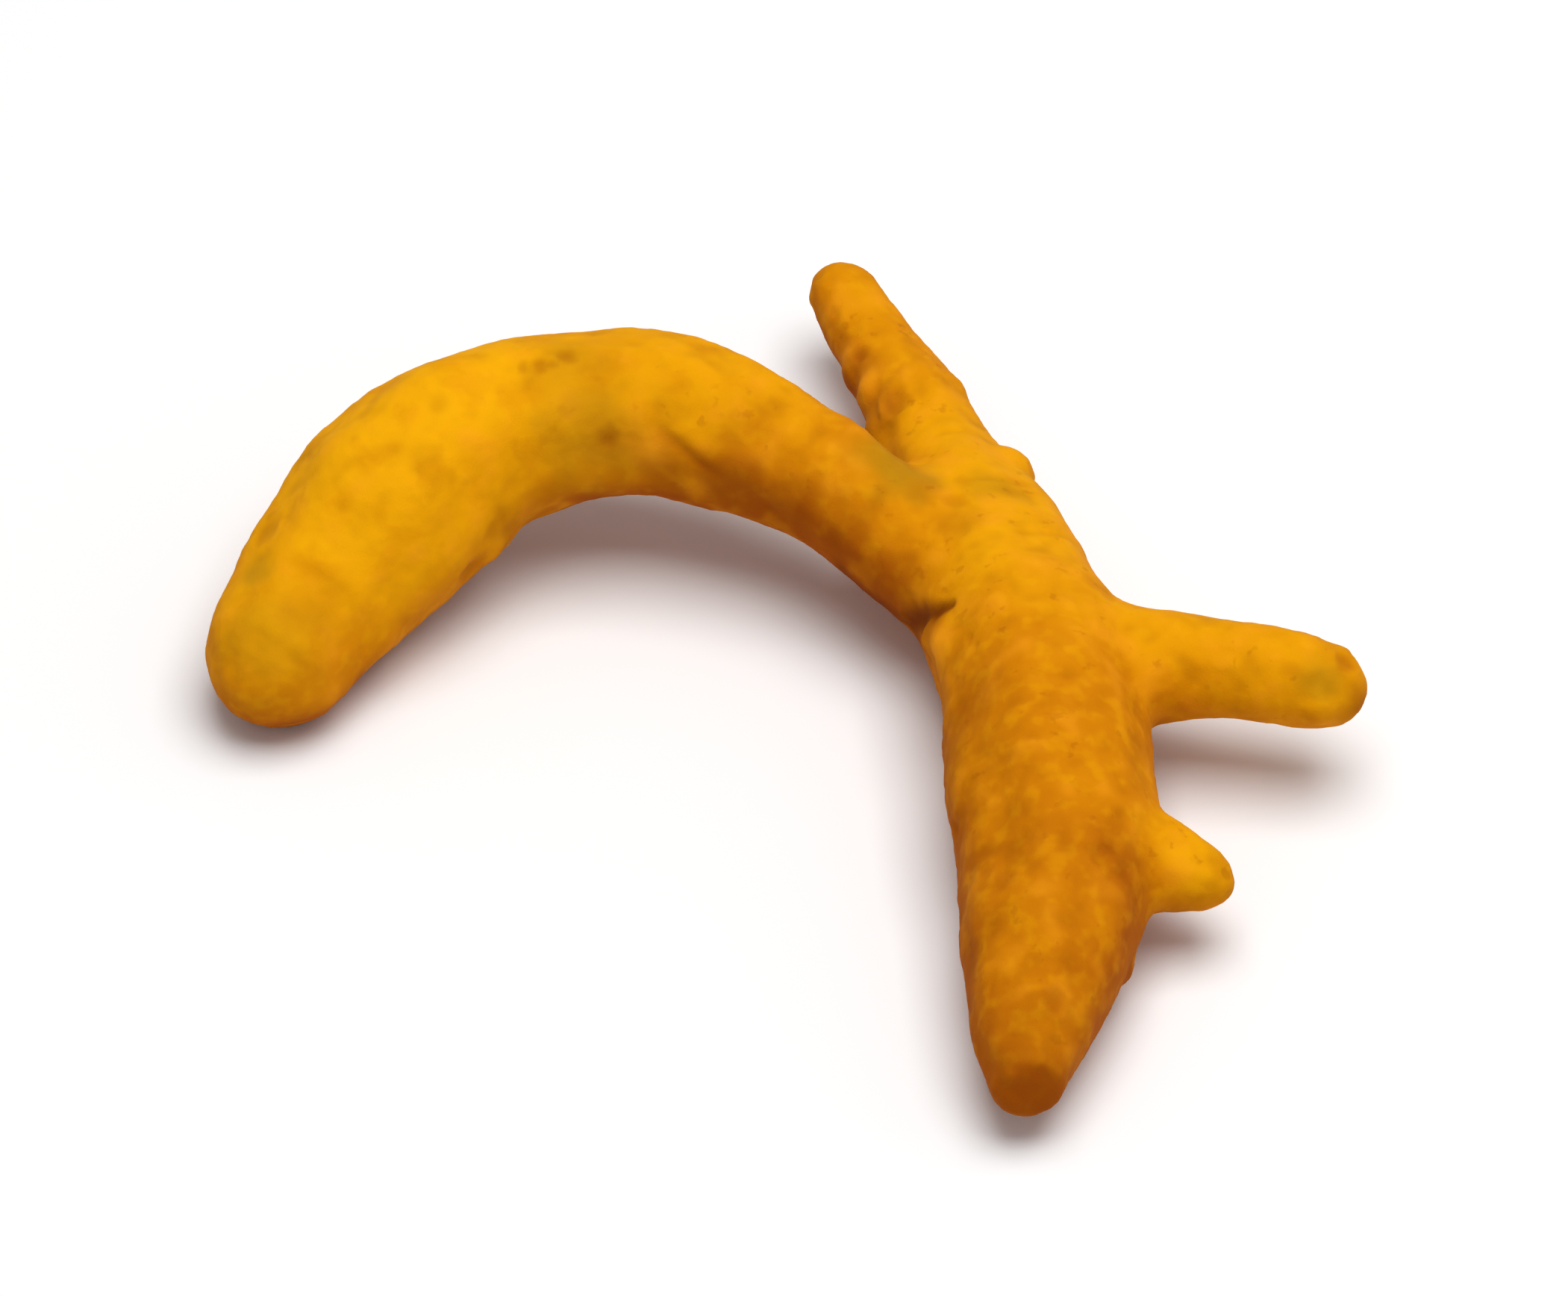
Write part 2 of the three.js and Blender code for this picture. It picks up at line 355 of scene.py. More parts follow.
class TURMERIC_PG_form(bpy.types.PropertyGroup):
    voxel: FloatProperty(
        name="Remesh size", description="Size of the faces before they are divided",
        default=0.48 * MM, min=0.3 * MM, subtype="DISTANCE", unit="LENGTH",
    )
    smoothing: IntProperty(
        name="Smoothing", description="How often the whole skin is smoothed", default=4, min=0,
    )
    seam_smoothing: IntProperty(
        name="Seam smoothing", description="How often the creases between fingers are smoothed",
        default=6, min=0,
    )
    upper_smoothing: IntProperty(
        name="Upper smoothing", description="How often the blends on top are smoothed beyond that",
        default=18, min=0,
    )
    lump: FloatProperty(
        name="Lumps", description="Height of the broad lumps and dents",
        default=0.17 * MM, subtype="DISTANCE", unit="LENGTH",
    )
    knobble: FloatProperty(
        name="Knobbles", description="Height of the small uneven knobbles of the skin",
        default=0.075 * MM, subtype="DISTANCE", unit="LENGTH",
    )
    ring: FloatProperty(
        name="Growth rings", description="Depth of the crease beside each growth ring",
        default=0.08 * MM, subtype="DISTANCE", unit="LENGTH",
    )
    ripple: FloatProperty(
        name="Ripples", description="Height of the short ripples that run round the fingers",
        default=0.02 * MM, subtype="DISTANCE", unit="LENGTH",
    )
    wrinkle: FloatProperty(
        name="Wrinkles", description="Height of the soft folds along the fingers",
        default=0.07 * MM, subtype="DISTANCE", unit="LENGTH",
    )
    grain: FloatProperty(
        name="Mealy grain", description="Height of the coarse grain of the skin",
        default=0.022 * MM, subtype="DISTANCE", unit="LENGTH",
    )
    dent: FloatProperty(
        name="Dents", description="Depth of the scattered rubbed dents",
        default=0.10 * MM, subtype="DISTANCE", unit="LENGTH",
    )
    crook: FloatProperty(
        name="Crook crease", description="Depth of the crease in the crook of the long side finger",
        default=0.36 * MM, subtype="DISTANCE", unit="LENGTH",
    )
    fold: FloatProperty(
        name="Fold", description="Depth of the crease at the long side finger's bend",
        default=0.20 * MM, subtype="DISTANCE", unit="LENGTH",
    )


class TURMERIC_PG_skin(bpy.types.PropertyGroup):
    # Yellow, ochre and underside are lit and shaded copies of the skin: painted light and shade.
    yellow: FloatVectorProperty(
        name="Yellow", description="Dusted skin that faces up", subtype="COLOR",
        default=linear(231, 157, 2), min=0.0, max=1.0,
    )
    ochre: FloatVectorProperty(
        name="Ochre", description="The deeper orange of the flanks", subtype="COLOR",
        default=linear(209, 127, 2), min=0.0, max=1.0,
    )
    # This underside colour is painted shade on the faces turned down.
    under: FloatVectorProperty(
        name="Underside", description="Bare brown-orange skin that faces down", subtype="COLOR",
        default=linear(164, 78, 3), min=0.0, max=1.0,
    )
    # Painted shade in the hollows between the knobbles, in the ring creases and in the dents.
    hollow_shade_tint: FloatVectorProperty(
        name="Dusk", description="How the hollows between the knobbles darken", subtype="COLOR",
        default=(0.66, 0.58, 0.5), min=0.0, max=1.0,
    )
    # Painted shade in the crook's crease and along the side finger's underside.
    crease_shade: FloatVectorProperty(
        name="Deep brown", description="The bottom of the creases", subtype="COLOR",
        default=linear(104, 30, 1), min=0.0, max=1.0,
    )
    # Rust colours flecks and scars, and the painted shade of the brown patches and beside the fold.
    rust_and_shade: FloatVectorProperty(
        name="Rust", description="Flecks, scars and tips", subtype="COLOR",
        default=linear(150, 70, 3), min=0.0, max=1.0,
    )
    green: FloatVectorProperty(
        name="Green grey", description="Stains at the bend and the crook", subtype="COLOR",
        default=linear(174, 125, 12), min=0.0, max=1.0,
    )
    # Tan is a painted highlight on the buds and, with the paler mottle, on the rising knobbles.
    tan: FloatVectorProperty(
        name="Tan", description="The tops of the knobbles, where the dust is rubbed", subtype="COLOR",
        default=linear(246, 158, 24), min=0.0, max=1.0,
    )
    # Powder is also laid on the faces turned most upward, as painted light.
    powder: FloatVectorProperty(
        name="Powder", description="Brightest dust on high spots", subtype="COLOR",
        default=linear(243, 173, 5), min=0.0, max=1.0,
    )
    roughness: FloatProperty(
        name="Roughness", description="Roughness of the skin", default=0.85, min=0.0, max=1.0,
        subtype="FACTOR",
    )
    sheen: FloatProperty(
        name="Dust sheen", description="Soft glow of the dust at the edges", default=0.08, min=0.0,
        max=1.0, subtype="FACTOR",
    )


class TURMERIC_PG_stage(bpy.types.PropertyGroup):
    elevation: FloatProperty(
        name="Elevation", description="How far above the surface the camera looks from",
        default=math.radians(45), subtype="ANGLE", unit="ROTATION",
    )
    lens: FloatProperty(
        name="Lens", description="Focal length of the camera", default=400.0, unit="CAMERA",
    )
    view_width: FloatProperty(
        name="View width", description="Width of the view at the root",
        default=92.0 * MM, subtype="DISTANCE", unit="LENGTH",
    )
    floor_colour: FloatVectorProperty(
        name="Floor", description="Colour of the floor", subtype="COLOR",
        default=(0.93, 0.93, 0.93), min=0.0, max=1.0,
    )
    key_power: FloatProperty(
        name="Key light", description="Power of the large light above", default=2.95,
        subtype="POWER", unit="POWER",
    )
    fill_power: FloatProperty(
        name="Fill light", description="Power of the light in front", default=0.2,
        subtype="POWER", unit="POWER",
    )
    sky: FloatProperty(
        name="Sky", description="Strength of the even light from all round", default=0.33, min=0.0,
    )


class Finger:
    """A finger's midline, sampled closely, with the directions round it at each sample."""

    def __init__(self, number):
        line = through_points(np.array(MIDLINES[number]), SAMPLES_A_SPAN)
        self.centre = line[:, :3]
        self.radius = line[:, 3]
        steps = np.linalg.norm(np.diff(self.centre, axis=0), axis=1)
        self.along = np.concatenate([[0.0], np.cumsum(steps)])
        tangent = np.gradient(self.centre, axis=0)
        self.tangent = tangent / np.linalg.norm(tangent, axis=1, keepdims=True)
        right = np.cross(self.tangent, (0.0, 0.0, 1.0))
        self.right = right / np.linalg.norm(right, axis=1, keepdims=True)
        self.upper = np.cross(self.right, self.tangent)
        self.tree = kdtree.KDTree(len(self.centre))
        for index, centre in enumerate(self.centre):
            self.tree.insert(centre, index)
        self.tree.balance()

    def places(self, points):
        """How far along, at what angle and how far outside the finger each point lies."""
        nearest = np.array([self.tree.find(point)[1] for point in points])
        offset = points - self.centre[nearest]
        forward = (offset * self.tangent[nearest]).sum(1)
        sideways = (offset * self.right[nearest]).sum(1)
        upward = (offset * self.upper[nearest]).sum(1)
        along = self.along[nearest] + forward
        beyond = np.maximum(-along, 0.0) + np.maximum(along - self.along[-1], 0.0)
        outside = np.hypot(np.hypot(sideways, upward), beyond) - self.radius[nearest]
        return along, np.arctan2(sideways, upward), outside, self.radius[nearest]

    def point(self, along, degrees):
        """The point of the skin at that distance along and that angle from the top."""
        index = int(np.searchsorted(self.along, along).clip(0, len(self.along) - 1))
        angle = math.radians(degrees)
        out = math.sin(angle) * self.right[index] + math.cos(angle) * self.upper[index]
        return self.centre[index] + self.radius[index] * out


def through_points(points, steps):
    """A smooth curve through the points, with that many samples between each two."""
    ends = np.vstack([2 * points[0] - points[1], points, 2 * points[-1] - points[-2]])
    share = np.linspace(0.0, 1.0, steps, endpoint=False)[:, None]
    spans = []
    for before, start, end, after in zip(ends, ends[1:], ends[2:], ends[3:]):
        spans.append(0.5 * (
            2 * start
            + (end - before) * share
            + (2 * before - 5 * start + 4 * end - after) * share**2
            + (3 * start - before - 3 * end + after) * share**3
        ))
    return np.vstack(spans + [points[-1:]])


class SkinMap:
    """Where each point of the skin lies on the fingers: which one, how far along, at what angle."""

    def __init__(self, points):
        self.points = points
        self.fingers = {number: Finger(number) for number in MIDLINES}
        found = [finger.places(points) for finger in self.fingers.values()]
        outside = np.array([place[2] for place in found])
        order = np.argsort(outside, axis=0)
        every_point = np.arange(len(points))
        self.finger = order[0]
        self.along = np.array([place[0] for place in found])[self.finger, every_point]
        self.angle = np.array([place[1] for place in found])[self.finger, every_point]
        self.radius = np.array([place[3] for place in found])[self.finger, every_point]
        self.along_each = {number: place[0] for number, place in zip(self.fingers, found)}
        self.outside = outside
        self.seam_distance = outside[order[1], every_point] - outside[order[0], every_point]

    def share_of(self, finger):
        """1 on that finger, 0 on the others, and a smooth change where they meet."""
        others = np.min(np.delete(self.outside, finger, axis=0), axis=0)
        return smooth_step(-FINGER_BLEND, FINGER_BLEND, others - self.outside[finger])

    def distance_to(self, finger, along, degrees):
        """How far each point lies from that place on the skin, in millimetres."""
        place = self.fingers[finger].point(along, degrees)
        return np.linalg.norm(self.points - place, axis=1)


def noise_at(points, kind, layer=0):
    """That kind's smooth noise at each point, between -1 and 1. Each layer is finer by half."""
    size, shift = WAVES[kind]
    places = points / (size / 2**layer) + (shift + layer)
    return np.array([noise.noise(Vector(place)) for place in places])


def rough_noise(points, kind, layers=3):
    """Several layers of a kind's noise, each half as broad and as high as the one before."""
    return sum(noise_at(points, kind, layer) / 2**layer for layer in range(layers))


def away_from_seams(where):
    """0 where two fingers meet, so that what follows a finger's own length fades out there."""
    return smooth_step(*SEAM_FADE, where.seam_distance)


def along_and_round(where, steps):
    """The place on its finger as a point, so that noise there is drawn out along or round it."""
    step_along, step_round = steps
    girth = where.radius / step_round
    drawn_out = (np.cos(where.angle) * girth, np.sin(where.angle) * girth)
    lengthwise = where.along / step_along + FINGER_SHIFT * where.finger
    return np.stack([*drawn_out, lengthwise], axis=1)


def ring_places(where):
    """Signed distance of each point from the nearest growth ring, in millimetres."""
    first = np.array([FIRST_RING[number] for number in MIDLINES])[where.finger]
    wave = RING_WAVE * np.sin(where.angle + where.along)
    wobble = RING_WOBBLE * noise_at(where.points, "ring wobble")
    place = where.along - first + (wave + wobble)
    return place - RING_SPACING * np.round(place / RING_SPACING)


def ring_creases(where):
    """The crease beside each growth ring, broken here and there."""
    beside = ring_places(where) - RING_CREASE_OFFSET
    crease = np.exp(-((beside / RING_CREASE_HALF_WIDTH) ** 2))
    present = smooth_step(*RING_PRESENCE, noise_at(where.points, "ring gap"))
    fainter = np.array([FAINTER_RINGS.get(number, 1.0) for number in MIDLINES])[where.finger]
    girth = smooth_step(*RINGED_RADII, where.radius)
    return crease * present * fainter * girth * away_from_seams(where)


def ripples(where):
    """Short uneven ripples that run round the finger."""
    return rough_noise(along_and_round(where, RIPPLE_STEPS), "ripple") * away_from_seams(where)


def wrinkles(where):
    """Soft folds that run along the finger for a few millimetres."""
    return noise_at(along_and_round(where, WRINKLE_STEPS), "wrinkle") * away_from_seams(where)


def broken_end(where):
    """1 on the rough broken face at the main finger's low tip, 0 elsewhere."""
    tip = where.fingers[MAIN].along[-1]
    share = smooth_step(tip - BROKEN_FROM, tip - BROKEN_FULLY, where.along)
    return share * (where.finger == MAIN)


def dents(where):
    """Uneven rubbed dents, in groups."""
    spots = smooth_step(*DENT_SPOTS, rough_noise(where.points, "dent"))
    return spots * smooth_step(*DENT_GROUPS, noise_at(where.points, "dent group"))


def fold(where):
    """The crease at the bend of the long side finger, and the wider band of painted shade beside it.
    """
    turn = np.degrees(where.angle) - FOLD_ANGLE
    line = FOLD_ALONG + FOLD_SLANT * turn + FOLD_WAVE * noise_at(where.points, "fold")
    reach = smooth_step(FOLD_REACH, 0.3 * FOLD_REACH, np.abs(turn)) * (where.finger == LONG)
    beside = where.along - line
    widths = (FOLD_HALF_WIDTH, FOLD_SHADE_HALF_WIDTH)
    return [reach * np.exp(-((beside / width) ** 2)) for width in widths]


def from_path(where, path):
    """How far each point lies from the path, in shares of the reach there."""
    nearest = np.full(len(where.points), np.inf)
    for start, end in zip(path, path[1:]):
        first, last = np.array(start[:3]), np.array(end[:3])
        line = last - first
        share = np.clip((where.points - first) @ line / (line @ line), 0.0, 1.0)
        beside = np.linalg.norm(where.points - first - share[:, None] * line, axis=1)
        nearest = np.minimum(nearest, beside / (start[3] + (end[3] - start[3]) * share))
    return nearest * (1.0 + CROOK_UNEVENNESS * noise_at(where.points, "crease"))


def buds(where):
    """The height of the small rounded buds."""
    height = np.zeros(len(where.points))
    for x, y, z, radius, bud_height in BUDS:
        distance = np.linalg.norm(where.points - (x, y, z), axis=1) / radius
        height = np.maximum(height, bud_height * np.exp(-(distance**2)))
    return height


def dust_and_shading(where, facing_up):
    """Dust and painted light at each point: painted light on top, painted shade below, dust in cloudy
    patches, finger by finger.
    """
    # Facing up raises the value and facing down lowers it: painted light and painted shade.
    dust_and_shade = facing_up + DUST_CLOUDS * noise_at(where.points, "dust_and_shade")
    for finger, start, end, more, evenness in DUST_AND_SHADE_SHIFTS:
        share = smooth_step(start, end, where.along_each[finger]) * where.share_of(finger)
        dust_and_shade += share * (more - evenness * facing_up)
    return dust_and_shade


def scars(where):
    """Hollows with raised rims, and how dark each is."""
    height = np.zeros(len(where.points))
    dark = np.zeros(len(where.points))
    uneven = 1.0 + SCAR_UNEVENNESS * noise_at(where.points, "scar")
    for finger, along, degrees, radius, depth, rim, darkness in SCARS:
        distance = where.distance_to(finger, along, degrees) / radius * uneven
        height -= depth * np.exp(-((distance / SCAR_HOLLOW_WIDTH) ** 2))
        height += rim * np.exp(-(((distance - SCAR_RIM_PLACE) / SCAR_RIM_WIDTH) ** 2))
        dark = np.maximum(dark, darkness * smooth_step(*SCAR_DARK, distance))
    return height, dark


def stains(where, spots):
    """Soft uneven patches round the given places."""
    uneven = STAIN_UNEVENNESS * noise_at(where.points, "stain")
    total = np.zeros(len(where.points))
    for x, y, z, reach, strength in spots:
        distance = np.linalg.norm(where.points - (x, y, z), axis=1) / reach
        total = np.maximum(total, strength * smooth_step(*STAIN_EDGE, distance + uneven))
    return total


def vectors(items, name):
    """That vector of each vertex, as rows of an array."""
    values = np.empty(len(items) * 3, np.float32)
    items.foreach_get(name, values)
    return values.reshape(-1, 3).astype(float)


def store(mesh, name, values):
    """Keeps one number a vertex under that name, for the material to read."""
    attribute = mesh.attributes.new(name, "FLOAT", "POINT")
    attribute.data.foreach_set("value", values.astype(np.float32))


def solid_copy():
    """The solid's mesh, with the corners that its faces share joined."""
    mesh = bpy.data.meshes.new("solid_copy")
    shell = bmesh.new()
    shell.from_mesh(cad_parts[ROOT].data)
    bmesh.ops.remove_doubles(shell, verts=shell.verts, dist=JOINING_DISTANCE)
    shell.to_mesh(mesh)
    shell.free()
    return mesh


def apply_modifiers(piece):
    """Gives the piece the mesh that its modifiers make of it, and takes them off."""
    graph = bpy.context.evaluated_depsgraph_get()
    mesh = bpy.data.meshes.new_from_object(piece.evaluated_get(graph))
    piece.modifiers.clear()
    piece.data = mesh


def even_skin(form):
    """The solid's outside as even faces, with the crooks between the fingers rounded off."""
    piece = bpy.data.objects.new("turmeric_root", solid_copy())
    bpy.context.scene.collection.objects.link(piece)
    remesh = piece.modifiers.new("Even faces", "REMESH")
    remesh.mode = "VOXEL"
    remesh.voxel_size = form.voxel
    apply_modifiers(piece)
    smooth_skin(piece.data, form)
    divide = piece.modifiers.new("Finer faces", "SUBSURF")
    divide.levels = divide.render_levels = 1
    apply_modifiers(piece)
    return piece


def smooth_skin(mesh, form):
    """Smooths the whole skin, then the creases between the fingers, then the blends on top."""
    where = SkinMap(vectors(mesh.vertices, "co") / MM)
    skin = bmesh.new()
    skin.from_mesh(mesh)
    skin.verts.ensure_lookup_table()
    for _ in range(form.smoothing):
        smooth(skin, skin.verts)
        smooth(skin, skin.verts, GIRTH_KEEPING_SHARE)
    seams = where.seam_distance < SEAM_REACH
    upper_seams = (where.seam_distance < UPPER_SEAM_REACH) & (where.points[:, 2] > UPPER_HEIGHT)
    for chosen, times in ((seams, form.seam_smoothing), (upper_seams, form.upper_smoothing)):
        verts = [skin.verts[i] for i in np.flatnonzero(chosen)]
        for _ in range(times):
            smooth(skin, verts)
    skin.to_mesh(mesh)
    skin.free()


def smooth(skin, verts, share=SMOOTHING_SHARE):
    """Moves those corners that share of the way to the middle of their neighbours."""
    bmesh.ops.smooth_vert(
        skin, verts=verts, factor=share, use_axis_x=True, use_axis_y=True, use_axis_z=True,
    )


class Marks:
    """The marks in the skin that its relief and its colours follow, point by point, painted shade
    among them.
    """

    def __init__(self, where):
        self.fold_crease, self.fold_shade = fold(where)
        self.scar_height, self.scar_dark = scars(where)
        self.ring = ring_creases(where)
        self.dent = dents(where)
        self.bud_and_highlight = buds(where)
        self.broken = broken_end(where)
        self.from_crease = from_path(where, CROOK_CREASE)
        self.from_underside_shade = from_path(where, CROOK_UNDERSIDE_SHADE)
        past_bend = smooth_step(*SMOOTH_STRETCH, where.along_each[LONG])
        self.smooth_arm = past_bend * where.share_of(LONG)
        self.evenness = 1.0 - LOWER_KNOBBLES * self.smooth_arm


def relief(where, marks, form):
    """How far the skin stands out at each point, in metres."""
    points = where.points
    knobble = rough_noise(points, "knobble") * marks.evenness
    broken = BROKEN_ROUGHNESS * marks.broken * noise_at(points, "broken end")
    return (
        form.lump * (noise_at(points, "lump") + 0.5 * noise_at(points, "small lump"))
        + form.knobble * (knobble + broken)
        - form.ring * marks.ring
        + form.ripple * ripples(where)
        + form.wrinkle * wrinkles(where)
        + form.grain * rough_noise(points, "grain")
        - form.dent * marks.dent * (1.0 - LOWER_DENTS * marks.smooth_arm)
        - form.crook * np.exp(-((marks.from_crease / CREASE_HALF_WIDTH) ** 2))
        - form.fold * marks.fold_crease
        + MM * (marks.scar_height + marks.bud_and_highlight)
    )


def tones(where, marks, facing_up):
    """The numbers that the colours are mixed by, under the names that the material reads."""
    knob = rough_noise(where.points, "knobble", layers=2) * marks.evenness
    # Darker where the knobbles dip and in ring creases and dents: darker mottle and painted shade.
    mottle_and_hollow_shade = smooth_step(0.0, -0.9, knob) + 0.6 * marks.ring + 0.5 * marks.dent
    # The scar tone also carries the painted shade beside the fold.
    scar = marks.scar_dark + 0.8 * marks.broken + 0.7 * marks.fold_shade
    # Painted shade in the crook: along its crease and the side finger's underside.
    crook_shade = np.maximum(
        smooth_step(*CROOK_SHADE_EDGE, marks.from_crease),
        UNDERSIDE_SHADE * smooth_step(*CROOK_SHADE_EDGE, marks.from_underside_shade),
    )
    return {
        "dust_and_shade": dust_and_shading(where, facing_up),
        "smooth_arm": marks.smooth_arm,
        # Paler where the knobbles rise: the skin's paler mottle and a painted highlight.
        "raised": smooth_step(0.0, 0.8, knob),
        # A painted highlight on the buds.
        "bud_and_highlight": np.clip(BUD_HIGHLIGHT_A_MM * marks.bud_and_highlight, 0.0, 1.0),
        "mottle_and_hollow_shade": np.clip(mottle_and_hollow_shade, 0.0, 1.0),
        "crease": crook_shade,
        "scar": np.clip(scar, 0.0, 1.0),
        "green": stains(where, GREEN_STAINS),
        # Brown patches: partly stains, partly painted shade.
        "brown": stains(where, BROWN_STAINS_AND_SHADE),
    }


def carve_skin(piece, form):
    """Moves the skin in and out for its relief, and keeps for each vertex what the colours need."""
    mesh = piece.data
    where = SkinMap(vectors(mesh.vertices, "co") / MM)
    outwards = vectors(mesh.vertex_normals, "vector")
    marks = Marks(where)
    moved = where.points * MM + outwards * relief(where, marks, form)[:, None]
    moved[:, 2] = np.maximum(moved[:, 2], 0.0)
    mesh.vertices.foreach_set("co", moved.astype(np.float32).ravel())
    for name, values in tones(where, marks, outwards[:, 2]).items():
        store(mesh, name, values)
    mesh.update()


class Shader:
    """Adds nodes to one material and links them, so that a finish reads as a list of steps."""

    def __init__(self, name):
        self.material = bpy.data.materials.new(name)
        self.material.use_nodes = True
        self.tree = self.material.node_tree
        self.skin = self.tree.nodes["Principled BSDF"]
        self.place = self.tree.nodes.new("ShaderNodeTexCoord").outputs["Object"]

    def feed(self, value, socket):
        if isinstance(value, bpy.types.NodeSocket):
            self.tree.links.new(value, socket)
        elif hasattr(value, "__len__"):
            socket.default_value = (*value, 1.0)
        else:
            socket.default_value = value

    def kept(self, name):
        """A number that the mesh keeps for each vertex."""
        node = self.tree.nodes.new("ShaderNodeAttribute")
        node.attribute_name = name
        return node.outputs["Fac"]

    def noise(self, size, detail=3.0, roughness=0.5):
        node = self.tree.nodes.new("ShaderNodeTexNoise")
        node.inputs["Scale"].default_value = 1.0 / size
        node.inputs["Detail"].default_value = detail
        node.inputs["Roughness"].default_value = roughness
        self.tree.links.new(self.place, node.inputs["Vector"])
        return node.outputs["Fac"]

    def ranged(self, value, low, high, start=0.0, end=1.0):
        """The value's share of the way from low to high, as a number from start to end."""
        node = self.tree.nodes.new("ShaderNodeMapRange")
        node.interpolation_type = "SMOOTHSTEP"
        for name, number in (("Value", value), ("From Min", low), ("From Max", high)):
            self.feed(number, node.inputs[name])
        node.inputs["To Min"].default_value = start
        node.inputs["To Max"].default_value = end
        return node.outputs["Result"]

    def times(self, first, second):
        node = self.tree.nodes.new("ShaderNodeMath")
        node.operation = "MULTIPLY"
        self.feed(first, node.inputs[0])
        self.feed(second, node.inputs[1])
        return node.outputs["Value"]

    def mixed(self, first, second, share, blend="MIX"):
        node = self.tree.nodes.new("ShaderNodeMix")
        node.data_type = "RGBA"
        node.blend_type = blend
        self.feed(share, node.inputs["Factor"])
        self.feed(first, node.inputs["A"])
        self.feed(second, node.inputs["B"])
        return node.outputs["Result"]

    def bump(self, height, distance, strength, under=None):
        node = self.tree.nodes.new("ShaderNodeBump")
        node.inputs["Distance"].default_value = distance
        node.inputs["Strength"].default_value = strength
        self.feed(height, node.inputs["Height"])
        if under:
            self.tree.links.new(under, node.inputs["Normal"])
        return node.outputs["Normal"]


def powdery_skin(colours):
    """Matte orange-yellow skin: dusted and painted light on top, painted shade below, rust flecks and
    green stains.
    """
    shader = Shader("powdery_turmeric_skin")
    blotch = shader.noise(BLOTCH_SIZE, 2.0, 0.4)
    meal = shader.noise(MEAL_SIZE, 1.5, 0.45)
    powder = shader.noise(POWDER_SIZE, 3.0, 0.7)
    dust_and_shade = shader.kept("dust_and_shade")

    # Underside, ochre, yellow and powder follow the facing: painted shade below, painted light on
    # top.
    tone = shader.mixed(colours.under, colours.ochre, shader.ranged(dust_and_shade, -0.6, 0.3))
    tone = shader.mixed(tone, colours.yellow, shader.ranged(dust_and_shade, 0.15, 0.95))
    tone = shader.mixed(tone, colours.powder, shader.ranged(dust_and_shade, 0.9, 1.6, 0.0, 0.7))
    tone = shader.mixed(tone, colours.ochre, shader.ranged(blotch, 0.48, 0.70, 0.0, 0.4))
    # Meal and tan come in more on faces turned up: dust, and painted light on top.
    dust_and_light_share = shader.ranged(dust_and_shade, -0.9, 0.3, 0.02, 0.38)
    mealy = shader.times(shader.ranged(meal, 0.46, 0.74, 0.0, 0.65), dust_and_light_share)
    tone = shader.mixed(tone, colours.powder, mealy)
    # Tan on the rising knobbles: paler mottle and painted highlight.
    tone = shader.mixed(tone, colours.tan, shader.times(shader.kept("raised"), dust_and_light_share))
    tone = shader.mixed(tone, colours.green, shader.times(shader.kept("green"), 0.75))
    fleck = shader.ranged(shader.noise(FLECK_SIZE, 2.0), 0.60, 0.70)
    fleck = shader.times(fleck, shader.ranged(blotch, 0.44, 0.58))
    fleck = shader.times(fleck, shader.ranged(shader.kept("smooth_arm"), 0.0, 1.0, 0.25, 0.05))
    tone = shader.mixed(tone, colours.rust_and_shade, fleck)
    for name, colour, most, blend in OVERLAYS:
        share = shader.times(shader.kept(name), most)
        tone = shader.mixed(tone, getattr(colours, colour), share, blend)
    shader.feed(tone, shader.skin.inputs["Base Color"])

    shader.skin.inputs["Roughness"].default_value = colours.roughness
    shader.skin.inputs["Specular IOR Level"].default_value = 0.05
    shader.skin.inputs["Sheen Weight"].default_value = colours.sheen
    shader.skin.inputs["Sheen Roughness"].default_value = 0.6
    shader.skin.inputs["Sheen Tint"].default_value = (*colours.powder, 1.0)
    coarse = shader.bump(meal, MEAL_HEIGHT, 0.7)
    shader.feed(shader.bump(powder, POWDER_HEIGHT, 0.6, coarse), shader.skin.inputs["Normal"])
    return shader.material


class TURMERIC_OT_make_root(bpy.types.Operator):
    """Make the rhizome's fine skin over its solid"""

    bl_idname = "turmeric.make_root"
    bl_label = "Make Root"

    def execute(self, context):
        form = context.scene.turmeric_form
        piece = even_skin(form)
        carve_skin(piece, form)
        piece.data.materials.append(powdery_skin(context.scene.turmeric_skin))
        piece.data.shade_smooth()
        if not piece.data.polygons:
            raise RuntimeError("the root has no faces")
        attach(piece, "root")
        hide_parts(ROOT)
        return {"FINISHED"}


def plain_material(name, colour, roughness):
    material = bpy.data.materials.new(name)
    material.use_nodes = True
    surface = material.node_tree.nodes["Principled BSDF"]
    surface.inputs["Base Color"].default_value = (*colour, 1.0)
    surface.inputs["Roughness"].default_value = roughness
    return material


def area_light(name, power, size, place):
    """A square light that faces the middle of the stage."""
    light = bpy.data.lights.new(name, "AREA")
    light.energy = power
    light.size = size
    lamp = bpy.data.objects.new(name, light)
    lamp.location = place
    lamp.rotation_euler = (-Vector(place)).to_track_quat("-Z", "Y").to_euler()
    bpy.context.scene.collection.objects.link(lamp)


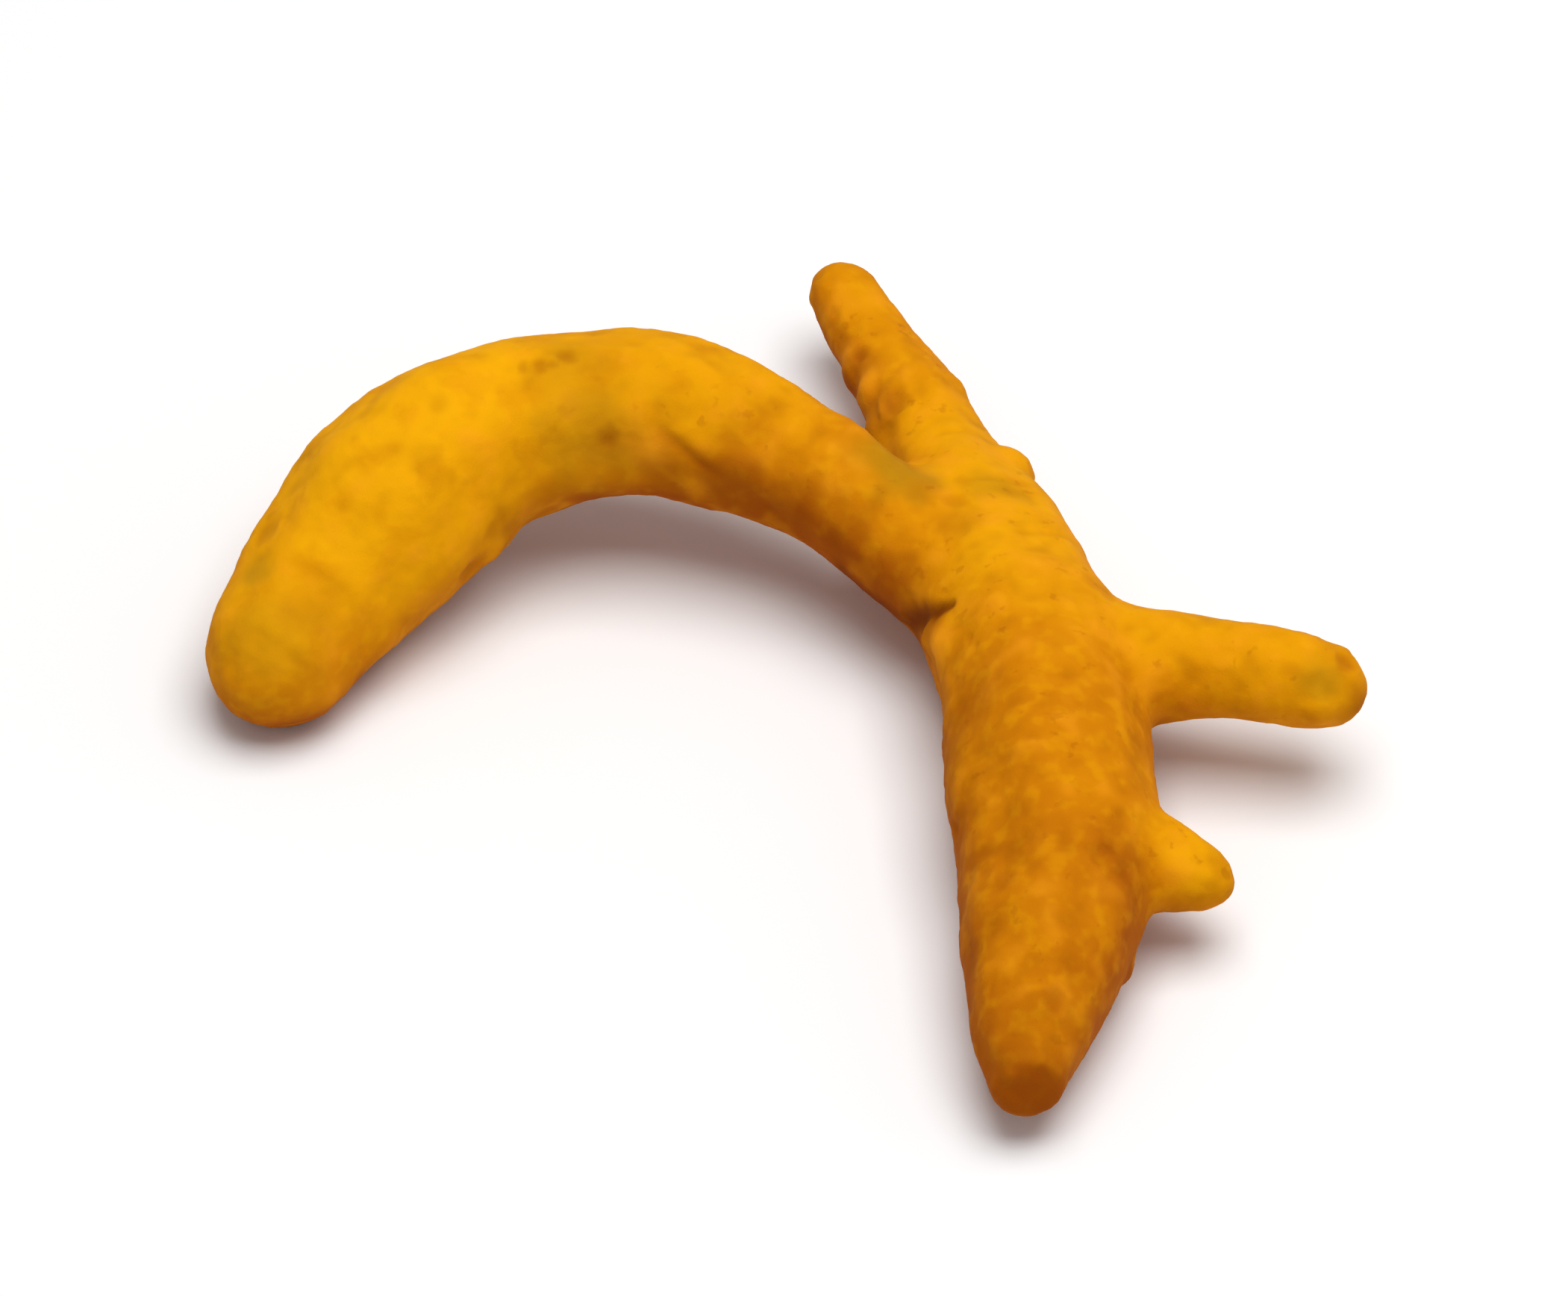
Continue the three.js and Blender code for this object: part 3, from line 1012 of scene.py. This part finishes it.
class TURMERIC_OT_make_stage(bpy.types.Operator):
    """Lay the floor and set the lights and the camera"""

    bl_idname = "turmeric.make_stage"
    bl_label = "Make Stage"

    def execute(self, context):
        settings = context.scene.turmeric_stage
        self.lay_floor(settings)
        self.set_lights(settings)
        self.set_camera(settings)
        return {"FINISHED"}

    def lay_floor(self, settings):
        mesh = bpy.data.meshes.new("floor")
        plane = bmesh.new()
        bmesh.ops.create_grid(plane, x_segments=1, y_segments=1, size=FLOOR_HALF_WIDTH)
        plane.to_mesh(mesh)
        plane.free()
        mesh.materials.append(plain_material("floor_white", settings.floor_colour, 0.9))
        floor = bpy.data.objects.new("floor", mesh)
        bpy.context.scene.collection.objects.link(floor)

    def set_lights(self, settings):
        area_light("key_light", settings.key_power, KEY_SIZE, KEY_PLACE)
        area_light("fill_light", settings.fill_power, FILL_SIZE, FILL_PLACE)
        world = bpy.data.worlds.new("sky")
        world.use_nodes = True
        world.node_tree.nodes["Background"].inputs["Color"].default_value = (1.0, 1.0, 1.0, 1.0)
        world.node_tree.nodes["Background"].inputs["Strength"].default_value = settings.sky
        bpy.context.scene.world = world
        bpy.context.scene.view_settings.view_transform = "Standard"

    def set_camera(self, settings):
        low, high = (Vector(corner) for corner in CAD_BOX)
        target = (low + high) / 2
        camera = bpy.data.cameras.new("camera")
        camera.lens = settings.lens
        camera.clip_start = NEAREST_SHOWN
        distance = settings.view_width * camera.lens / camera.sensor_width
        away = Vector((0.0, -math.cos(settings.elevation), math.sin(settings.elevation)))
        holder = bpy.data.objects.new("camera", camera)
        holder.location = target + away * distance
        holder.rotation_euler = (-away).to_track_quat("-Z", "Y").to_euler()
        bpy.context.scene.collection.objects.link(holder)
        bpy.context.scene.camera = holder


class TURMERIC_PT_panel(bpy.types.Panel):
    """Sizes, colours and steps of the turmeric root"""

    bl_label = "Turmeric Root"
    bl_idname = "TURMERIC_PT_panel"
    bl_space_type = "VIEW_3D"
    bl_region_type = "UI"
    bl_category = "Turmeric"

    def draw(self, context):
        groups = (
            ("Form", context.scene.turmeric_form, TURMERIC_OT_make_root),
            ("Skin", context.scene.turmeric_skin, None),
            ("Stage", context.scene.turmeric_stage, TURMERIC_OT_make_stage),
        )
        for title, group, operator in groups:
            box = self.layout.box()
            box.label(text=title)
            for name in group.__annotations__:
                box.prop(group, name)
            if operator:
                box.operator(operator.bl_idname)


CLASSES = (
    TURMERIC_PG_form,
    TURMERIC_PG_skin,
    TURMERIC_PG_stage,
    TURMERIC_OT_make_root,
    TURMERIC_OT_make_stage,
    TURMERIC_PT_panel,
)


def register():
    for cls in CLASSES:
        bpy.utils.register_class(cls)
    bpy.types.Scene.turmeric_form = PointerProperty(type=TURMERIC_PG_form)
    bpy.types.Scene.turmeric_skin = PointerProperty(type=TURMERIC_PG_skin)
    bpy.types.Scene.turmeric_stage = PointerProperty(type=TURMERIC_PG_stage)


def unregister():
    del bpy.types.Scene.turmeric_stage
    del bpy.types.Scene.turmeric_skin
    del bpy.types.Scene.turmeric_form
    for cls in reversed(CLASSES):
        bpy.utils.unregister_class(cls)


def main():
    register()
    bpy.ops.turmeric.make_root()
    bpy.ops.turmeric.make_stage()


if __name__ == "__main__":
    main()
